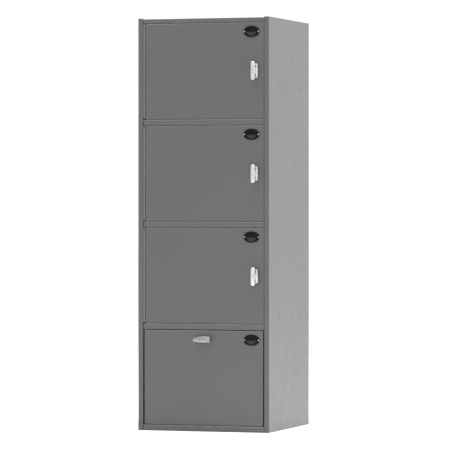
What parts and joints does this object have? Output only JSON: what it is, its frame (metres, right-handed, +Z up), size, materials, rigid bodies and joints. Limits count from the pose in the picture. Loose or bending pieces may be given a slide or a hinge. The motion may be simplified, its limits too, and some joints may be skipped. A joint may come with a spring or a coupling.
{
  "type": "parcel locker",
  "caption": "Tall grey steel parcel locker with side-hung doors above a drop-down flap, each with a turning bar lock and an oval number plate.",
  "frame": {"origin": "on the floor, in the middle of the box around the locker, with its lock handles", "axes": "+Z up, -Y towards the front of the locker, +X to the right of a person who faces its front"},
  "size_m": [0.6, 0.637, 1.8],
  "materials": {
    "powder_coated_steel": "satin powder coat",
    "zinc_plated_steel": "zinc plated",
    "chrome_plated_metal": "bright, slightly soft",
    "black_plastic": "moulded, satin",
    "aluminium_rivet": "plain"
  },
  "bodies": {
    "carcass": {"left_side_panel": "powder_coated_steel", "right_side_panel": "powder_coated_steel", "top_panel": "powder_coated_steel", "base_panel": "powder_coated_steel", "back_panel": "powder_coated_steel", "shelf_upper": "powder_coated_steel", "shelf_middle": "powder_coated_steel", "shelf_lower": "powder_coated_steel", "door_1_hinge_frame_leaf": "powder_coated_steel", "door_1_hinge_pin": "zinc_plated_steel", "door_2_hinge_frame_leaf": "powder_coated_steel", "door_2_hinge_pin": "zinc_plated_steel", "door_3_hinge_frame_leaf": "powder_coated_steel", "door_3_hinge_pin": "zinc_plated_steel", "door_4_hinge_frame_leaf": "powder_coated_steel", "door_4_hinge_pin": "zinc_plated_steel"},
    "door_1": {"door_1_panel": "powder_coated_steel", "door_1_stiffener": "powder_coated_steel", "door_1_hinge_door_leaf": "powder_coated_steel", "number_plate_1": "black_plastic", "number_plate_1_rivet_left": "aluminium_rivet", "number_plate_1_rivet_right": "aluminium_rivet", "lock_1_base": "chrome_plated_metal", "lock_1_nut": "zinc_plated_steel"},
    "handle_1": {"lock_1_handle": "chrome_plated_metal", "lock_1_cam": "zinc_plated_steel"},
    "plug_1": {"lock_1_plug": "chrome_plated_metal"},
    "door_2": {"door_2_panel": "powder_coated_steel", "door_2_stiffener": "powder_coated_steel", "door_2_hinge_door_leaf": "powder_coated_steel", "number_plate_2": "black_plastic", "number_plate_2_rivet_left": "aluminium_rivet", "number_plate_2_rivet_right": "aluminium_rivet", "lock_2_base": "chrome_plated_metal", "lock_2_nut": "zinc_plated_steel"},
    "handle_2": {"lock_2_handle": "chrome_plated_metal", "lock_2_cam": "zinc_plated_steel"},
    "plug_2": {"lock_2_plug": "chrome_plated_metal"},
    "door_3": {"door_3_panel": "powder_coated_steel", "door_3_stiffener": "powder_coated_steel", "door_3_hinge_door_leaf": "powder_coated_steel", "number_plate_3": "black_plastic", "number_plate_3_rivet_left": "aluminium_rivet", "number_plate_3_rivet_right": "aluminium_rivet", "lock_3_base": "chrome_plated_metal", "lock_3_nut": "zinc_plated_steel"},
    "handle_3": {"lock_3_handle": "chrome_plated_metal", "lock_3_cam": "zinc_plated_steel"},
    "plug_3": {"lock_3_plug": "chrome_plated_metal"},
    "door_4": {"door_4_panel": "powder_coated_steel", "door_4_stiffener": "powder_coated_steel", "door_4_hinge_door_leaf": "powder_coated_steel", "number_plate_4": "black_plastic", "number_plate_4_rivet_left": "aluminium_rivet", "number_plate_4_rivet_right": "aluminium_rivet", "lock_4_base": "chrome_plated_metal", "lock_4_nut": "zinc_plated_steel"},
    "handle_4": {"lock_4_handle": "chrome_plated_metal", "lock_4_cam": "zinc_plated_steel"},
    "plug_4": {"lock_4_plug": "chrome_plated_metal"}
  },
  "joints": [
    {"name": "door_1_hinge", "type": "hinge", "parent": "carcass", "child": "door_1", "pos_m": [-0.2728, -0.2785, 1.5674], "axis": [0, 0, -1], "range_deg": [0, 120]},
    {"name": "door_2_hinge", "type": "hinge", "parent": "carcass", "child": "door_2", "pos_m": [-0.2728, -0.2785, 1.1225], "axis": [0, 0, -1], "range_deg": [0, 120]},
    {"name": "door_3_hinge", "type": "hinge", "parent": "carcass", "child": "door_3", "pos_m": [-0.2728, -0.2785, 0.67785], "axis": [0, 0, -1], "range_deg": [0, 120]},
    {"name": "door_4_hinge", "type": "hinge", "parent": "carcass", "child": "door_4", "pos_m": [0, -0.273, 0.0309], "axis": [1, 0, 0], "range_deg": [0, 85]},
    {"name": "handle_1_turn", "type": "hinge", "parent": "door_1", "child": "handle_1", "pos_m": [0.236, -0.2785, 1.5654], "axis": [0, 1, 0], "range_deg": [0, 90]},
    {"name": "handle_2_turn", "type": "hinge", "parent": "door_2", "child": "handle_2", "pos_m": [0.236, -0.2785, 1.1205], "axis": [0, 1, 0], "range_deg": [0, 90]},
    {"name": "handle_3_turn", "type": "hinge", "parent": "door_3", "child": "handle_3", "pos_m": [0.236, -0.2785, 0.67585], "axis": [0, 1, 0], "range_deg": [0, 90]},
    {"name": "handle_4_turn", "type": "hinge", "parent": "door_4", "child": "handle_4", "pos_m": [0.0017, -0.2785, 0.4001], "axis": [0, 1, 0], "range_deg": [0, 90]},
    {"name": "key_plug_1_turn", "type": "hinge", "parent": "handle_1", "child": "plug_1", "pos_m": [0.236, -0.3155, 1.5654], "axis": [0, 1, 0], "range_deg": [0, 90]},
    {"name": "key_plug_2_turn", "type": "hinge", "parent": "handle_2", "child": "plug_2", "pos_m": [0.236, -0.3155, 1.1205], "axis": [0, 1, 0], "range_deg": [0, 90]},
    {"name": "key_plug_3_turn", "type": "hinge", "parent": "handle_3", "child": "plug_3", "pos_m": [0.236, -0.3155, 0.67585], "axis": [0, 1, 0], "range_deg": [0, 90]},
    {"name": "key_plug_4_turn", "type": "hinge", "parent": "handle_4", "child": "plug_4", "pos_m": [0.0017, -0.3155, 0.4001], "axis": [0, 1, 0], "range_deg": [0, 90]}
  ]
}
